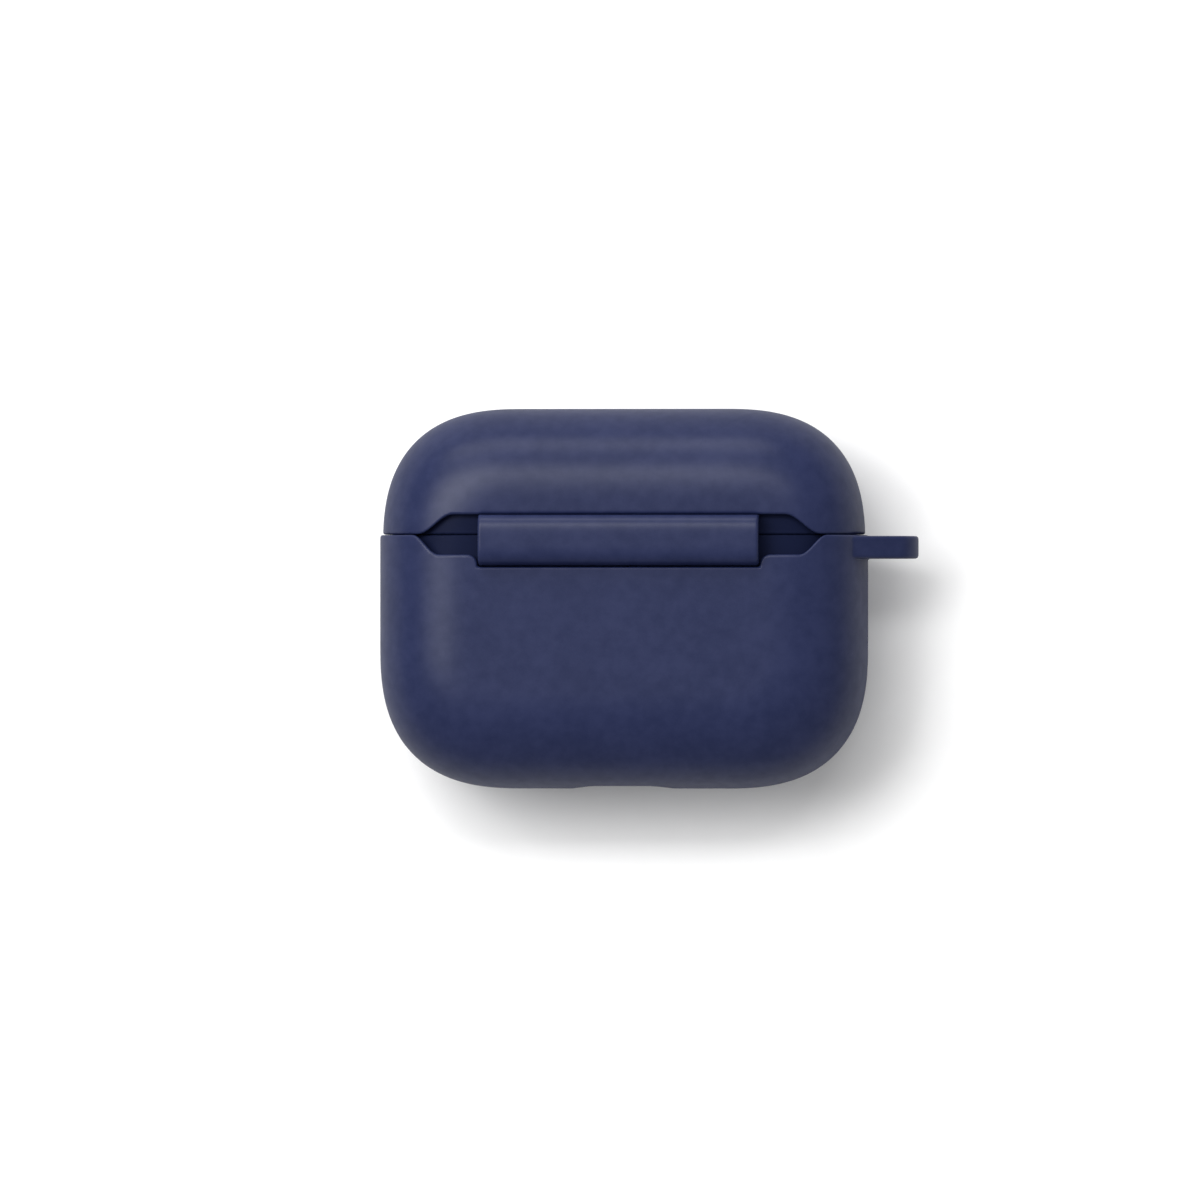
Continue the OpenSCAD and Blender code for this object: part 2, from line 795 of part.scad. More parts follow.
// Flat leads from the contact boards to the main board
module contact_leads() {
    lead_h = 2;
    near_x = boss_x + boss_r + 2 * fit;
    far_x = well_x - contact_x;
    top_y = barrel_foot_y - fit / 2 - contact_board_t - fit / 2;
    lead_z = board_z - fit / 2;
    color("#c77f2a") for (side = [-1, 1]) {
        box(min(side * near_x, side * far_x), max(side * near_x, side * far_x), top_y - lead_h, top_y,
            lead_z - lead_t, lead_z);
        box(side * far_x - lead_h / 2, side * far_x + lead_h / 2, top_y - lead_t, top_y,
            well_z - lead_h / 2, lead_z);
    }
}

// ---- pairing button ----

module pairing_button() {
    under_y = deck_y - deck_t - fit;
    color("#2a2f4d") {
        down_y(deck_y - fit, deck_t + button_skirt / 2)
            translate([0, well_z]) circle(button_r, $fn = round_fn);
        down_y(under_y, button_skirt)
            translate([0, well_z]) circle(button_r + 3 * fit + button_skirt, $fn = round_fn);
        down_y(under_y - button_skirt / 2, button_foot + button_skirt / 2)
            translate([0, well_z]) circle(contact_barrel_r, $fn = small_fn);
    }
}

module button_switch() {
    plunger_h = 0.2;
    color("#b5b8bd") {
        box(-switch_w / 2, switch_w / 2, switch_y - plunger_h - switch_t, switch_y - plunger_h,
            well_z - switch_w / 2, board_z - fit / 2);
        down_y(switch_y, plunger_h + bite) translate([0, well_z]) circle(contact_barrel_r, $fn = small_fn);
    }
}

// ---- electronics ----

module battery() {
    color("#8b8f96") translate([0, battery_top_y - battery_h / 2, battery_z])
        linear_extrude(battery_t) rounded_rect(battery_w, battery_h, battery_corner_r);
}

module battery_pad() {
    color("#33363c") translate([0, battery_top_y - battery_h / 2, battery_z - fit / 4 - pad_t / 2])
        cube([battery_w - 2 * pad_inset, battery_h - 2 * pad_inset, pad_t - fit / 2], center = true);
}

module battery_lead() {
    lead_w = 6;
    rise = board_z - fit / 2 - (battery_z + battery_t / 2);
    color("#c77f2a") translate([-lead_w / 2, battery_top_y + fit / 2, battery_z + battery_t / 2])
        cube([lead_w, lead_t, rise]);
}

module main_board() {
    color("#1f5a3a") difference() {
        translate([0, 0, board_z]) linear_extrude(board_t) {
            translate([-board_w / 2, board_foot_y]) square([board_w, board_shoulder_y - board_foot_y]);
            translate([-neck_w / 2, board_foot_y]) square([neck_w, board_top_y - board_foot_y]);
            translate([-board_tab_w / 2, board_foot_y - board_tab_h])
                square([board_tab_w, board_tab_h + bite]);
        }
        for (side = [-1, 1])
            translate([side * boss_x, boss_y, board_z - fit])
                cylinder(h = board_t + 2 * fit, r = board_screw_r + fit, $fn = small_fn);
    }
}

module board_chips() {
    chip_z = board_z + board_t + fit / 4;
    // Each chip: middle of its foot in X and Y, then width, height, thickness
    chips = [[-4.5, 9, 5, 5, 0.9], [4, 8.4, 4, 4, 0.8], [5.5, 13.4, 3, 3, 1], [-5, 14.6, 3.6, 2.4, 1.1]];
    color("#15161a") for (chip = chips)
        translate([chip[0] - chip[2] / 2, board_foot_y + chip[1] - chip[3] / 2, chip_z])
            cube([chip[2], chip[3], chip[4]]);
}

module board_screws() {
    color("#c8cace") for (side = [-1, 1]) translate([side * boss_x, boss_y, 0]) {
        translate([0, 0, board_z + board_t + fit / 4])
            cylinder(h = board_screw_head_t, r = board_screw_head_r, $fn = small_fn);
        translate([0, 0, board_z + 2 * fit - board_screw_l])
            cylinder(h = board_screw_l + board_t, r = board_screw_r, $fn = small_fn);
    }
}

module port_shell() {
    color("#c2c5ca") difference() {
        down_y(port_back_y, port_l) translate([0, mid_z]) stadium(port_w, port_t);
        down_y(port_back_y - port_sheet, port_l) translate([0, mid_z])
            stadium(port_w - 2 * port_sheet, port_t - 2 * port_sheet);
    }
}

module port_tongue() {
    root_y = port_back_y - port_sheet - fit / 4;
    color("#191a1e") box(-tongue_w / 2, tongue_w / 2, root_y - tongue_reach, root_y,
        mid_z - tongue_t / 2, mid_z + tongue_t / 2);
}

module port_gasket() {
    color("#3a3d45") down_y(inner_bottom_y + 3 * fit + gasket_t, gasket_t) translate([0, mid_z])
        difference() {
            stadium(port_w + fit + 2 * gasket_rim, port_t + fit + 2 * gasket_rim);
            stadium(port_w + fit, port_t + fit);
        }
}

// Flat coil: one thin disc with a round ridge for each turn
module charging_coil() {
    turn_r = (coil_r - coil_hole_r) / coil_turns / 2;
    color("#b5652f") translate([0, coil_y, coil_z + coil_t / 2]) rotate_extrude($fn = round_fn) {
        translate([coil_hole_r + turn_r, -coil_t / 8])
            square([coil_r - coil_hole_r - 2 * turn_r, coil_t / 4]);
        for (i = [0:coil_turns - 1])
            translate([coil_hole_r + turn_r * (2 * i + 1), 0])
                rounded_rect(1.8 * turn_r, coil_t, 0.8 * turn_r);
    }
}

module ferrite_sheet() {
    color("#2b2c30") translate([0, coil_y, ferrite_z])
        cylinder(h = ferrite_t, r = coil_r + bite, $fn = round_fn);
}

module coil_lead() {
    lead_w = 2.4;
    foot_z = board_z + board_t + fit / 4;
    color("#c77f2a") translate([-lead_w / 2, coil_y + coil_hole_r, foot_z])
        cube([lead_w, lead_t, ferrite_z - fit / 2 - foot_z]);
}

// ---- status light ----

module light_pipe() {
    flange_z = inner_front_z + fit / 2;
    pipe_l = light_board_z - led_t - fit - front_z;
    color("#e9edf2", 0.6) translate([0, light_y, 0]) {
        translate([0, 0, front_z]) cylinder(h = pipe_l, r = pipe_r, $fn = small_fn);
        translate([0, 0, flange_z]) cylinder(h = 2 * bite, r = pipe_r + bite, $fn = small_fn);
    }
}

module status_light() {
    color("#f2efe2") translate([0, light_y, light_board_z - fit / 2 - led_t / 2])
        cube([2 * pipe_r, 2 * pipe_r, led_t], center = true);
}

module status_light_board() {
    color("#1f5a3a") translate([0, light_y, light_board_z + contact_board_t / 2])
        cube([neck_w - 1, light_board_h, contact_board_t], center = true);
}

base_sleeve();
lid_sleeve();
hinge_strap();
lid_sleeve_tape();
base_shell();
lid_shell();
lid_liner();
earbud_cradle();
base_hinge_leaf();
lid_hinge_leaf();
hinge_pin();
hinge_pin_clip();
base_hinge_screws();
lid_hinge_screws();
latch_magnets();
latch_plates();
earbud_magnets();
left_contact_pins();
right_contact_pins();
contact_barrels();
contact_boards();
contact_leads();
pairing_button();
button_switch();
battery();
battery_pad();
battery_lead();
main_board();
board_chips();
board_screws();
port_shell();
port_tongue();
port_gasket();
charging_coil();
ferrite_sheet();
coil_lead();
status_light();
status_light_board();
light_pipe();
lid_sensor();
lid_sensor_magnet();
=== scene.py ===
# %% [markdown]
# # A charging case in a silicone sleeve
# This file dresses a construction model with its finishes. The construction gives every part its
# size and place, and this script gives the parts their surfaces: moulded silicone, satin plastic,
# ground steel, copper and circuit board. Each step says what the part is, how it could be made in
# Blender, and why one way was chosen.

# %% Open the construction model
import json
import math

import bmesh
import bpy
import numpy as np
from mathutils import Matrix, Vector


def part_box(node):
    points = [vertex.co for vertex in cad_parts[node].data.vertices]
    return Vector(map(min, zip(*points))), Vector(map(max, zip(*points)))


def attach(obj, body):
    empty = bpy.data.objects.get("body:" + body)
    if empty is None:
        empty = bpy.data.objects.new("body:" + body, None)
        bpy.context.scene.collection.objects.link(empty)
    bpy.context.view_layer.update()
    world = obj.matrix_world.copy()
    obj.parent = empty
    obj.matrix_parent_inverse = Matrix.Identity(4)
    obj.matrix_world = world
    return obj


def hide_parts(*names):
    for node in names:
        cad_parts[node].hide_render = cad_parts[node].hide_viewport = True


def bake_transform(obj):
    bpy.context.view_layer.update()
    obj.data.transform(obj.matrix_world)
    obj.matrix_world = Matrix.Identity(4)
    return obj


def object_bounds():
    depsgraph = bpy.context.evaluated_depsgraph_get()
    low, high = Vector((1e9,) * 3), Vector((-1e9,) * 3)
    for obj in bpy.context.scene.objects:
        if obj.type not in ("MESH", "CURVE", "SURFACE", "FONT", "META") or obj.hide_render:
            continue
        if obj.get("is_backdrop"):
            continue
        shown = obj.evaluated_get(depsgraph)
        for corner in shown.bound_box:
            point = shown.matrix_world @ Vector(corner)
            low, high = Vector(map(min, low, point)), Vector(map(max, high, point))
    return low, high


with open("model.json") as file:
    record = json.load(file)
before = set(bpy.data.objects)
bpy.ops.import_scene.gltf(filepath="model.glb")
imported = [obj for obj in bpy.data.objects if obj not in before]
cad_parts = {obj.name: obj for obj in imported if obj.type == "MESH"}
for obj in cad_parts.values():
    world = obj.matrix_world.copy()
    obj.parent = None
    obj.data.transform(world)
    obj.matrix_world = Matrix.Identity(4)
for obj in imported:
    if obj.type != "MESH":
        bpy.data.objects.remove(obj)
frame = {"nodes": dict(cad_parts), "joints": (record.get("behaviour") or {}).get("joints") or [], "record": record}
cad_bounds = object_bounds()
print("parts in the model:", len(frame["nodes"]))

# %% [markdown]
# ## Sizes
# The soft parts are reshaped below, so their main sizes are needed as numbers. They are read from
# the boxes of the parts, so that nothing has to be fitted afterwards. Millimetres are easier to
# think in for a thing this small, so all shape work is done in millimetres.

# %% Sizes, read from the parts
MM = 0.001


def low_high(node):
    low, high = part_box(node)
    return np.array(low) / MM, np.array(high) / MM


shell_low, shell_high = low_high("base_shell")
lid_high = low_high("lid_shell")[1]
base_low, base_high = low_high("base_sleeve")
lid_sleeve_low, lid_sleeve_high = low_high("lid_sleeve")
strap_low, strap_high = low_high("hinge_strap")
liner_low = low_high("lid_liner")[0]
cradle_high = low_high("earbud_cradle")[1]
button_low, button_high = low_high("pairing_button")

HALF_W = shell_high[0]
HALF_H = lid_high[1]
HALF_T = (shell_high[2] - shell_low[2]) / 2
MID_Z = (shell_high[2] + shell_low[2]) / 2
BASE_OFF = -base_low[0] - HALF_W
LID_OFF = lid_sleeve_high[1] - HALF_H
BASE_RIM_Y = base_high[1]
LID_RIM_Y = lid_sleeve_low[1]
SEAM_Y = (BASE_RIM_Y + LID_RIM_Y) / 2
hinge = frame["joints"][0]
AXIS_Y, AXIS_Z = [v / MM for v in hinge["pos_m"][1:]]
print("case half sizes", HALF_W, HALF_H, HALF_T, "sleeve walls", BASE_OFF, LID_OFF)
print("hinge line at", AXIS_Y, AXIS_Z)

# %% [markdown]
# ## Shapes as distance fields
# Soft mouldings have no sharp edge anywhere: each rim, slot and corner ends in a small radius. Bevel
# modifiers struggle where a cut runs through a curved shell, so these parts are described by a
# distance field instead: a function that is negative inside the part and positive outside. Two
# fields are joined or cut with a true fillet between them, whatever angle they meet at.

# %% The case's pebble shape as a field
CORNER_R = 17.0
EDGE_ROLL = 11.0
CORNER_POWER = 2.6
EDGE_POWER = 2.3
LEAST_SLOPE = 0.02


def pebble(p, off):
    """Distance to the case's rounded body, grown by off; the tiny numbers avoid dividing by zero."""
    corner, roll = CORNER_R + off, EDGE_ROLL + off
    dx = np.abs(p[:, 0]) - (HALF_W + off - corner)
    dy = np.abs(p[:, 1]) - (HALF_H + off - corner)
    px, py = np.maximum(dx, 0), np.maximum(dy, 0)
    q = (px**CORNER_POWER + py**CORNER_POWER + 1e-12) ** (1 / CORNER_POWER)
    q_safe = np.maximum(q, 1e-6)
    qx = (px / q_safe) ** (CORNER_POWER - 1)
    qy = (py / q_safe) ** (CORNER_POWER - 1)
    m = np.maximum(1 - (corner - q) / roll, 0)
    half_t = HALF_T + off
    w = np.abs(p[:, 2] - MID_Z) / half_t
    h = np.maximum((m**EDGE_POWER + w**EDGE_POWER) ** (1 / EDGE_POWER), 1e-6)
    hm = (m / h) ** (EDGE_POWER - 1) / roll
    hw = (w / h) ** (EDGE_POWER - 1) / half_t
    slope = np.sqrt((hm * qx) ** 2 + (hm * qy) ** 2 + hw**2)
    return (h - 1) / np.maximum(slope, LEAST_SLOPE)


back_middle = np.array([[0, 0, MID_Z + HALF_T]])
print("the field at the middle of the back is", round(float(pebble(back_middle, 0)[0]), 4), "mm")

# %% [markdown]
# ## Fillets
# The larger of two fields is the overlap of their shapes, with a sharp edge. A quarter circle drawn
# round that corner turns the edge into a fillet with the same radius all the way along. Beveling the
# mesh would need clean edge loops, which a rim that crosses a curved shell doesn't have.

# %% Joining and cutting with a fillet
def both(a, b, r):
    """Where a and b overlap, with the outer edge between them rounded to radius r."""
    corner = np.sqrt(np.maximum(a + r, 0) ** 2 + np.maximum(b + r, 0) ** 2)
    return np.minimum(-r, np.maximum(a, b)) + corner


def either(a, b, r):
    """a and b joined, with a fillet of radius r in the inner corner."""
    corner = np.sqrt(np.maximum(r - a, 0) ** 2 + np.maximum(r - b, 0) ** 2)
    return np.maximum(r, np.minimum(a, b)) - corner


def without(a, b, r):
    return both(a, -b, r)


print("a sharp corner stands", round(float(both(0.0, 0.0, 1.0)), 3), "mm outside a 1 mm fillet")

# %% [markdown]
# ## Shapes to cut with
# Holes, windows and wells are rods, slabs and rounded rectangles, whose distances are short
# formulas. The wavy rim of the sleeve has no formula, so it is a line of points, and the last
# function tells how far a point is from that line and on which side.

# %% Simple fields to cut with
def slab(v, low, high):
    return np.abs(v - (low + high) / 2) - (high - low) / 2


def rounded_rect(u, v, half_u, half_v, r):
    du = np.abs(u) - (half_u - r)
    dv = np.abs(v) - (half_v - r)
    outside = np.sqrt(np.maximum(du, 0) ** 2 + np.maximum(dv, 0) ** 2)
    return outside + np.minimum(np.maximum(du, dv), 0) - r


def rod(u, v, r):
    return np.sqrt(u**2 + v**2) - r


def side_of_line(x, y, line):
    """Signed distance to an open line of points that runs towards +X: positive above it."""
    best = np.full(len(x), 1e9)
    sign = np.ones(len(x))
    for (ax, ay), (bx, by) in zip(line[:-1], line[1:]):
        ex, ey = bx - ax, by - ay
        t = np.clip(((x - ax) * ex + (y - ay) * ey) / (ex**2 + ey**2), 0, 1)
        d = (x - ax - t * ex) ** 2 + (y - ay - t * ey) ** 2
        near = d < best - 1e-9
        best = np.where(near, d, best)
        sign = np.where(near, np.sign(ex * (y - ay) - ey * (x - ax) + 1e-12), sign)
    return sign * np.sqrt(best)


print("a point 3 mm from the axis of a 2 mm rod lies", rod(3.0, 0.0, 2.0), "mm outside it")

# %% [markdown]
# ## Settling points on a field
# A mesh follows its field when every point is moved along the field's slope until the field is zero
# there. Only points that start close to the surface are moved, so details deeper inside that the
# field leaves out stay as they were built. Sculpting would also soften edges, but it would not keep
# the sizes.

# %% Settle points
REACH = 0.45
LEAST_STEEPNESS = 0.3
LONGEST_MOVE = 0.15


def slope_of(field, p, value):
    step = 0.01
    cols = []
    for axis in range(3):
        moved = p.copy()
        moved[:, axis] += step
        cols.append((field(moved) - value) / step)
    return np.stack(cols, axis=1)


def settle(field, p, rounds=7):
    """Moves points that start near the field's surface onto it."""
    start = field(p)
    near = np.abs(start) < REACH
    q = p[near].copy()
    for _ in range(rounds):
        value = field(q)
        slope = slope_of(field, q, value)
        size = np.maximum((slope**2).sum(1), LEAST_STEEPNESS)
        move = np.clip(value / size, -LONGEST_MOVE, LONGEST_MOVE)
        q -= move[:, None] * slope
    out = p.copy()
    out[near] = q
    return out, near


print("points move up to", REACH, "mm to reach the surface")


# %% [markdown]
# ## Evening out the points
# Points that only settle keep the spacing of the squares they came from, and a rim drawn through
# them wavers a little. Drawing each point towards the middle of its neighbours and settling it again
# straightens the rim. A smooth modifier does the same sum, but would shrink the part.

# %% Even out the points
RELAX_ROUNDS = 2


def relax(mesh, p, near, share=0.5):
    """Draws each point towards the middle of its neighbours, so that rims run straight."""
    ends = np.empty(len(mesh.edges) * 2, np.int32)
    mesh.edges.foreach_get("vertices", ends)
    a, b = ends.reshape(-1, 2).T
    count = np.bincount(a, minlength=len(p)) + np.bincount(b, minlength=len(p))
    total = [np.bincount(a, p[b, k], len(p)) + np.bincount(b, p[a, k], len(p)) for k in range(3)]
    middle = np.stack(total, axis=1) / count[:, None]
    out = p.copy()
    out[near] += share * (middle[near] - p[near])
    return out


print("rounds of evening out:", RELAX_ROUNDS)

# %% [markdown]
# ## From a part to a moulded skin
# The part's own solid is remeshed into small even squares, which follow the true shape but have
# stepped edges, and those squares are settled on the field. The field's slope is also the exact
# surface normal. It is stored wherever it agrees with the mesh, so highlights run smoothly.

# %% Mould a part
WELD = 0.002
AGREEMENT = 0.5


def remesh(node, voxel):
    """A copy of a part's mesh as even squares of side voxel, in mm."""
    mesh = frame["nodes"][node].data.copy()
    bm = bmesh.new()
    bm.from_mesh(mesh)
    bmesh.ops.remove_doubles(bm, verts=bm.verts, dist=WELD * MM)
    bm.to_mesh(mesh)
    bm.free()
    obj = bpy.data.objects.new(node + "_skin", mesh)
    bpy.context.scene.collection.objects.link(obj)
    modifier = obj.modifiers.new("squares", "REMESH")
    modifier.mode = "VOXEL"
    modifier.voxel_size = voxel * MM
    graph = bpy.context.evaluated_depsgraph_get()
    even = bpy.data.meshes.new_from_object(obj.evaluated_get(graph))
    obj.modifiers.clear()
    obj.data = even
    return obj


def mould(node, field, voxel):
    """Remeshes a part, settles it on its field and stores the field's normals."""
    obj = remesh(node, voxel)
    mesh = obj.data
    flat = np.empty(len(mesh.vertices) * 3)
    mesh.vertices.foreach_get("co", flat)
    points, near = settle(field, flat.reshape(-1, 3) / MM)
    for _ in range(RELAX_ROUNDS):
        points = settle(field, relax(mesh, points, near), 2)[0]
    mesh.vertices.foreach_set("co", (points * MM).ravel())
    mesh.update()
    mesh.polygons.foreach_set("use_smooth", np.ones(len(mesh.polygons), bool))
    own = np.empty(len(mesh.vertices) * 3)
    mesh.vertex_normals.foreach_get("vector", own)
    normals = own.reshape(-1, 3)
    slope = slope_of(field, points, field(points))
    length = np.maximum(np.sqrt((slope**2).sum(1)), 1e-6)
    unit = slope / length[:, None]
    trust = near & ((unit * normals).sum(1) > AGREEMENT)
    normals = np.where(trust[:, None], unit, normals)
    mesh.normals_split_custom_set_from_vertices(normals)
    off = np.abs(field(points[near]))
    print(f"{node}: {len(points)} points, settled to {off.mean():.4f} mm")
    return obj


print("ready to mould any of", len(frame["nodes"]), "parts")

# %% [markdown]
# ## Shader arithmetic
# Node trees get long when every sum is a node placed by hand. A small class wraps an output socket,
# so that ordinary Python arithmetic adds the Math nodes. Plain numbers may stand on either side.

# %% A socket that can be used in sums
class Value:
    def __init__(self, finish, socket):
        self.finish, self.socket = finish, socket

    def math(self, operation, a, b):
        node = self.finish.node("ShaderNodeMath", {"operation": operation}, {0: a, 1: b})
        return Value(self.finish, node.outputs[0])

    def __add__(self, other):
        return self.math("ADD", self, other)

    def __radd__(self, other):
        return self.math("ADD", other, self)

    def __sub__(self, other):
        return self.math("SUBTRACT", self, other)

    def __rsub__(self, other):
        return self.math("SUBTRACT", other, self)

    def __mul__(self, other):
        return self.math("MULTIPLY", self, other)

    def __rmul__(self, other):
        return self.math("MULTIPLY", other, self)

    def __truediv__(self, other):
        return self.math("DIVIDE", self, other)

    def __rtruediv__(self, other):
        return self.math("DIVIDE", other, self)

    def __pow__(self, other):
        return self.math("POWER", self, other)


print("sockets can be added, multiplied, divided and raised to a power")

# %% [markdown]
# ## One class for every finish
# Every finish here is one Principled shader fed by a few noises. The class adds any node by its
# type, settings and inputs, and keeps the few patterns that all finishes share: noise in real
# millimetres, cells, a smooth step, a colour mix and bumps. A node group would do the same in the
# editor, but a method is easier to read in a script.

# %% One material and its nodes
FINISH_OF = {}


class Finish:
    """One material, filed in FINISH_OF under the name of the slot it fills."""

    def __init__(self, slot, **uniform):
        self.material = bpy.data.materials.new(slot + "_finish")
        FINISH_OF[slot] = self.material
        self.material.use_nodes = True
        self.tree = self.material.node_tree
        self.shader = self.tree.nodes["Principled BSDF"]
        for socket, value in uniform.items():
            self.shader.inputs[socket.replace("_", " ")].default_value = value

    def node(self, kind, settings=None, inputs=None):
        node = self.tree.nodes.new(kind)
        for key, value in (settings or {}).items():
            setattr(node, key, value)
        for key, value in (inputs or {}).items():
            if isinstance(value, Value):
                value = value.socket
            if isinstance(value, bpy.types.NodeSocket):
                self.tree.links.new(value, node.inputs[key])
            else:
                node.inputs[key].default_value = value
        return node

    def feed(self, socket, value):
        value = value.socket if isinstance(value, Value) else value
        self.tree.links.new(value, self.shader.inputs[socket])

    def place(self, stretch=(1, 1, 1)):
        """Position on the part in millimetres, stretched along each axis."""
        where = self.node("ShaderNodeTexCoord").outputs["Object"]
        scale = [s / MM for s in stretch]
        scaled = self.node("ShaderNodeVectorMath", {"operation": "MULTIPLY"}, {0: where, 1: scale})
        return scaled.outputs[0]

    def noise(self, size, detail=2.0, rough=0.5, stretch=(1, 1, 1)):
        """Noise from 0 to 1 whose lumps are about size mm across."""
        inputs = {"Vector": self.place(stretch), "Scale": 1 / size, "Detail": detail, "Roughness": rough}
        return Value(self, self.node("ShaderNodeTexNoise", None, inputs).outputs[0])

    def cells(self, size, stretch=(1, 1, 1)):
        inputs = {"Vector": self.place(stretch), "Scale": 1 / size}
        return Value(self, self.node("ShaderNodeTexVoronoi", None, inputs).outputs["Distance"])

    def ramp(self, value, low, high):
        """0 below low, 1 above high, and a smooth step between them."""
        settings = {"interpolation_type": "SMOOTHSTEP"}
        inputs = {"Value": value, "From Min": low, "From Max": high}
        return Value(self, self.node("ShaderNodeMapRange", settings, inputs).outputs[0])

    def mix(self, factor, a, b):
        node = self.node("ShaderNodeMix", {"data_type": "RGBA"}, {0: factor, 6: a, 7: b})
        return node.outputs[2]

    def bump(self, height, depth, normal=None):
        """Bumps of the given depth in mm, from a height between 0 and 1."""
        inputs = {"Height": height, "Distance": depth * MM, "Strength": 1.0}
        if normal is not None:
            inputs["Normal"] = normal
        return self.node("ShaderNodeBump", None, inputs).outputs[0]


def rgb(r, g, b):
    return (r, g, b, 1.0)


print("ready to make finishes with", Finish.__name__)

# %% [markdown]
# ## Matte silicone
# Cast silicone looks soft because its surface is very finely grained and slightly cloudy, so the
# colour drifts a little over millimetres. Its gloss comes from a thin, rough coat instead of the
# shader's own reflection: a coat of partial strength stays modest near the outline, where a full
# reflection would draw a pale rim. Noises of several sizes stand in for a texture picture.

# %% Silicone
def silicone(name, deep, light):
    finish = Finish(name, Specular_IOR_Level=0.0, Coat_Roughness=0.36)
    cloud = finish.noise(7.0, 3.0, 0.55)
    drift = finish.noise(1.6, 2.0)
    grain = finish.noise(0.11, 2.0, 0.6)
    tone = cloud * 0.42 + drift * 0.35 + grain * 0.23
    finish.feed("Base Color", finish.mix(finish.ramp(tone, 0.34, 0.66), rgb(*deep), rgb(*light)))
    finish.feed("Coat Weight", 0.28 + drift * 0.1 + grain * 0.1)
    waves = finish.bump(finish.noise(5.0, 2.0), 0.035)
    finish.feed("Normal", finish.bump(grain, 0.006, waves))


silicone("navy_silicone", (0.0098, 0.0146, 0.0500), (0.0146, 0.0200, 0.0620))
print("made", *FINISH_OF)

# %% [markdown]
# ## Moulded plastics
# The hard shells are satin and nearly smooth. The inner mouldings come from a spark-eroded tool, so
# they have an even, slightly coarser grain. All are one recipe with other numbers: a colour, how
# rough its coat is, the size and depth of the grain, and how strong the coat is.

# %% Plastics
def plastic(name, colour, rough, grain_size, grain_depth, gloss=0.25):
    finish = Finish(name, Specular_IOR_Level=0.0, Coat_Roughness=rough)
    grain = finish.noise(grain_size, 2.0, 0.6)
    cloud = finish.noise(4.0, 2.0)
    shade = [c * 0.8 for c in colour]
    finish.feed("Base Color", finish.mix(cloud * 0.7 + grain * 0.3, rgb(*shade), rgb(*colour)))
    finish.feed("Coat Weight", gloss * (0.8 + grain * 0.4))
    finish.feed("Normal", finish.bump(grain, grain_depth))


plastic("dark_shell", (0.0072, 0.0102, 0.031), 0.36, 0.2, 0.003, 0.04)
plastic("inner_plastic", (0.016, 0.021, 0.055), 0.42, 0.14, 0.008)
plastic("button_plastic", (0.05, 0.058, 0.12), 0.3, 0.3, 0.002)
plastic("chip_black", (0.018, 0.018, 0.02), 0.55, 0.1, 0.006)
plastic("ferrite", (0.035, 0.035, 0.038), 0.6, 0.3, 0.01)
plastic("led_white", (0.8, 0.77, 0.62), 0.3, 0.4, 0.002)
plastic("gasket_rubber", (0.03, 0.03, 0.034), 0.7, 0.2, 0.01)
plastic("black_foam", (0.03, 0.03, 0.033), 0.9, 0.5, 0.12)
plastic("white_tape", (0.75, 0.75, 0.7), 0.6, 0.6, 0.01)
print("made the plastics")

# %% [markdown]
# ## Metals
# Stamped steel keeps the fine lines of the rolled sheet, so its grain is stretched along one axis.
# Plated parts are smoother. A faint stain in the roughness stops them looking like mirrors.

# %% Metals
def metal(name, colour, rough, stretch=(1, 1, 1), depth=0.002):
    finish = Finish(name, Metallic=1.0)
    lines = finish.noise(0.25, 3.0, 0.6, stretch)
    stain = finish.noise(2.5, 3.0)
    shade = [c * 0.82 for c in colour]
    finish.feed("Base Color", finish.mix(stain * 0.6 + lines * 0.4, rgb(*shade), rgb(*colour)))
    finish.feed("Roughness", rough + lines * 0.12 + stain * 0.08)
    finish.feed("Normal", finish.bump(lines, depth))


ALONG_X = (0.06, 1, 1)
metal("hinge_steel", (0.56, 0.56, 0.58), 0.26, ALONG_X)
metal("pin_steel", (0.66, 0.67, 0.69), 0.14)
metal("screw_steel", (0.6, 0.6, 0.62), 0.25)
metal("magnet_nickel", (0.6, 0.58, 0.55), 0.18)
metal("gold_plate", (0.9, 0.62, 0.24), 0.2)
metal("port_steel", (0.6, 0.61, 0.63), 0.24, (1, 0.06, 1))
metal("battery_foil", (0.62, 0.63, 0.65), 0.42, (1, 1, 1), 0.02)
print("made the metals")

# %% [markdown]
# ## Boards, film, copper and the clear pipe
# A circuit board is green lacquer over copper: where a trace runs, the lacquer is a little lighter
# and stands up slightly. Cells drawn with a Voronoi pattern stand in for the traces.

# %% Boards, film and copper
def lacquer_over_copper(name, dark, light):
    finish = Finish(name, IOR=1.5, Roughness=0.3)
    track = finish.ramp(finish.cells(1.3), 0.34, 0.4)
    finish.feed("Base Color", finish.mix(track, rgb(*dark), rgb(*light)))
    finish.feed("Normal", finish.bump(track, 0.02))


def copper_wire(name):
    finish = Finish(name, Metallic=1.0)
    strand = finish.noise(0.3, 2.0)
    finish.feed("Base Color", finish.mix(strand, rgb(0.5, 0.19, 0.07), rgb(0.72, 0.32, 0.13)))
    finish.feed("Roughness", 0.22 + strand * 0.12)


def frosted_pipe(name):
    finish = Finish(name, IOR=1.49, Transmission_Weight=0.75)
    frost = finish.noise(0.2, 2.0)
    finish.feed("Base Color", finish.mix(frost, rgb(0.82, 0.86, 0.9), rgb(0.95, 0.97, 1.0)))
    finish.feed("Roughness", 0.3 + frost * 0.15)


lacquer_over_copper("circuit_board", (0.012, 0.07, 0.035), (0.03, 0.15, 0.075))
lacquer_over_copper("flex_film", (0.32, 0.13, 0.02), (0.62, 0.33, 0.09))
copper_wire("coil_copper")
frosted_pipe("clear_pipe")
print("made the boards, film, copper and pipe")

